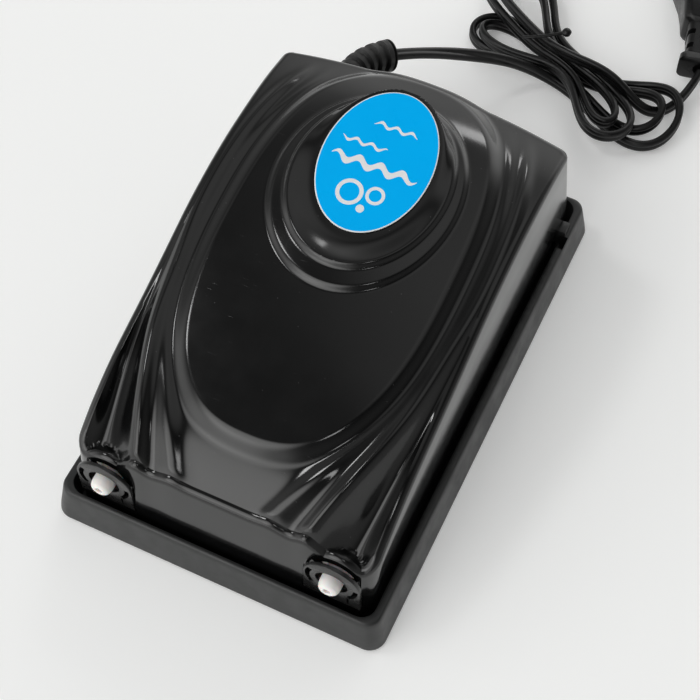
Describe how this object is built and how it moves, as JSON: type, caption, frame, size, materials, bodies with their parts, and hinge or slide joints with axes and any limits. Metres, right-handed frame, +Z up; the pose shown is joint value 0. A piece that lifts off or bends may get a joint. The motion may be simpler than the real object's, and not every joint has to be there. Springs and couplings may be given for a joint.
{
  "type": "aquarium air pump",
  "caption": "Two-outlet aquarium air pump with a moulded cover, electromagnet and swing-arm diaphragms, on a tray base with a bundled mains cord and plug.",
  "frame": {"origin": "centre of the tray's footprint, on the plane of the rubber feet", "axes": "+Z up; the two air outlets face -Y; the cord leaves at the +Y end; +X is the right side seen from the outlets with the feet down"},
  "size_m": [0.1015, 0.2624, 0.0604],
  "materials": {
    "gloss_black_plastic": "gloss",
    "matte_grey_plastic": "matte",
    "label_blue": "satin",
    "nozzle_white": "satin",
    "black_rubber": "matte",
    "cord_black": "satin",
    "clear_silicone": "satin",
    "zinc_plated_steel": "satin",
    "core_steel": "satin",
    "enamelled_copper": "gloss",
    "white_nylon": "satin",
    "ferrite_magnet": "matte",
    "filter_felt": "matte",
    "nickel_plated_brass": "polished",
    "lead_blue": "satin",
    "lead_brown": "satin"
  },
  "bodies": {
    "housing": {"air_filter": "filter_felt", "air_hose_left": "clear_silicone", "air_hose_right": "clear_silicone", "base_tray": "matte_grey_plastic", "case_screw_back_left": "zinc_plated_steel", "case_screw_back_right": "zinc_plated_steel", "case_screw_front_left": "zinc_plated_steel", "case_screw_front_right": "zinc_plated_steel", "coil_bobbin": "white_nylon", "coil_cradle": "white_nylon", "coil_lead_1": "lead_brown", "coil_lead_2": "lead_blue", "coil_strap": "zinc_plated_steel", "coil_winding": "enamelled_copper", "cord_boot": "black_rubber", "cord_tie": "cord_black", "cover": "gloss_black_plastic", "diaphragm_left": "black_rubber", "diaphragm_right": "black_rubber", "filter_cap": "matte_grey_plastic", "foot_back_left": "black_rubber", "foot_back_right": "black_rubber", "foot_front_left": "black_rubber", "foot_front_right": "black_rubber", "label_badge": "label_blue", "laminated_core": "core_steel", "outlet_bezel_left": "gloss_black_plastic", "outlet_bezel_right": "gloss_black_plastic", "outlet_nozzle_left": "nozzle_white", "outlet_nozzle_right": "nozzle_white", "pivot_bracket_left": "white_nylon", "pivot_bracket_right": "white_nylon", "pivot_pin_left": "zinc_plated_steel", "pivot_pin_right": "zinc_plated_steel", "plug_body": "cord_black", "plug_pin_left": "nickel_plated_brass", "plug_pin_right": "nickel_plated_brass", "power_cord": "cord_black", "valve_box_left": "white_nylon", "valve_box_right": "white_nylon", "valve_plate_left": "white_nylon", "valve_plate_right": "white_nylon"},
    "arm_left": {"swing_arm_left": "white_nylon", "arm_magnet_left": "ferrite_magnet", "diaphragm_screw_left": "zinc_plated_steel"},
    "inlet_flap_left_body": {"inlet_flap_left": "black_rubber"},
    "outlet_flap_left_body": {"outlet_flap_left": "black_rubber"},
    "arm_right": {"swing_arm_right": "white_nylon", "arm_magnet_right": "ferrite_magnet", "diaphragm_screw_right": "zinc_plated_steel"},
    "inlet_flap_right_body": {"inlet_flap_right": "black_rubber"},
    "outlet_flap_right_body": {"outlet_flap_right": "black_rubber"}
  },
  "joints": [
    {"name": "arm_right_swing", "type": "hinge", "parent": "housing", "child": "arm_right", "pos_m": [0.02, -0.034, 0.026], "axis": [1, 0, 0], "range_deg": [-1.5, 1.5], "stiffness_Nm_per_rad": 0.5, "deforming": ["diaphragm_right"]},
    {"name": "arm_left_swing", "type": "hinge", "parent": "housing", "child": "arm_left", "pos_m": [-0.02, -0.034, 0.026], "axis": [1, 0, 0], "range_deg": [-1.5, 1.5], "stiffness_Nm_per_rad": 0.5, "deforming": ["diaphragm_left"]},
    {"name": "inlet_flap_right_lift", "type": "hinge", "parent": "housing", "child": "inlet_flap_right_body", "pos_m": [0.0205, 0.0006, 0.01635], "axis": [1, 0, 0], "range_deg": [0, 20]},
    {"name": "outlet_flap_right_drop", "type": "hinge", "parent": "housing", "child": "outlet_flap_right_body", "pos_m": [0.0205, -0.001, 0.013], "axis": [1, 0, 0], "range_deg": [0, 20]},
    {"name": "inlet_flap_left_lift", "type": "hinge", "parent": "housing", "child": "inlet_flap_left_body", "pos_m": [-0.0205, 0.0006, 0.01635], "axis": [1, 0, 0], "range_deg": [0, 20]},
    {"name": "outlet_flap_left_drop", "type": "hinge", "parent": "housing", "child": "outlet_flap_left_body", "pos_m": [-0.0205, -0.001, 0.013], "axis": [1, 0, 0], "range_deg": [0, 20]}
  ],
  "couplings": [
    {"joint": "arm_left_swing", "follows": "arm_right_swing", "ratio": -1}
  ]
}
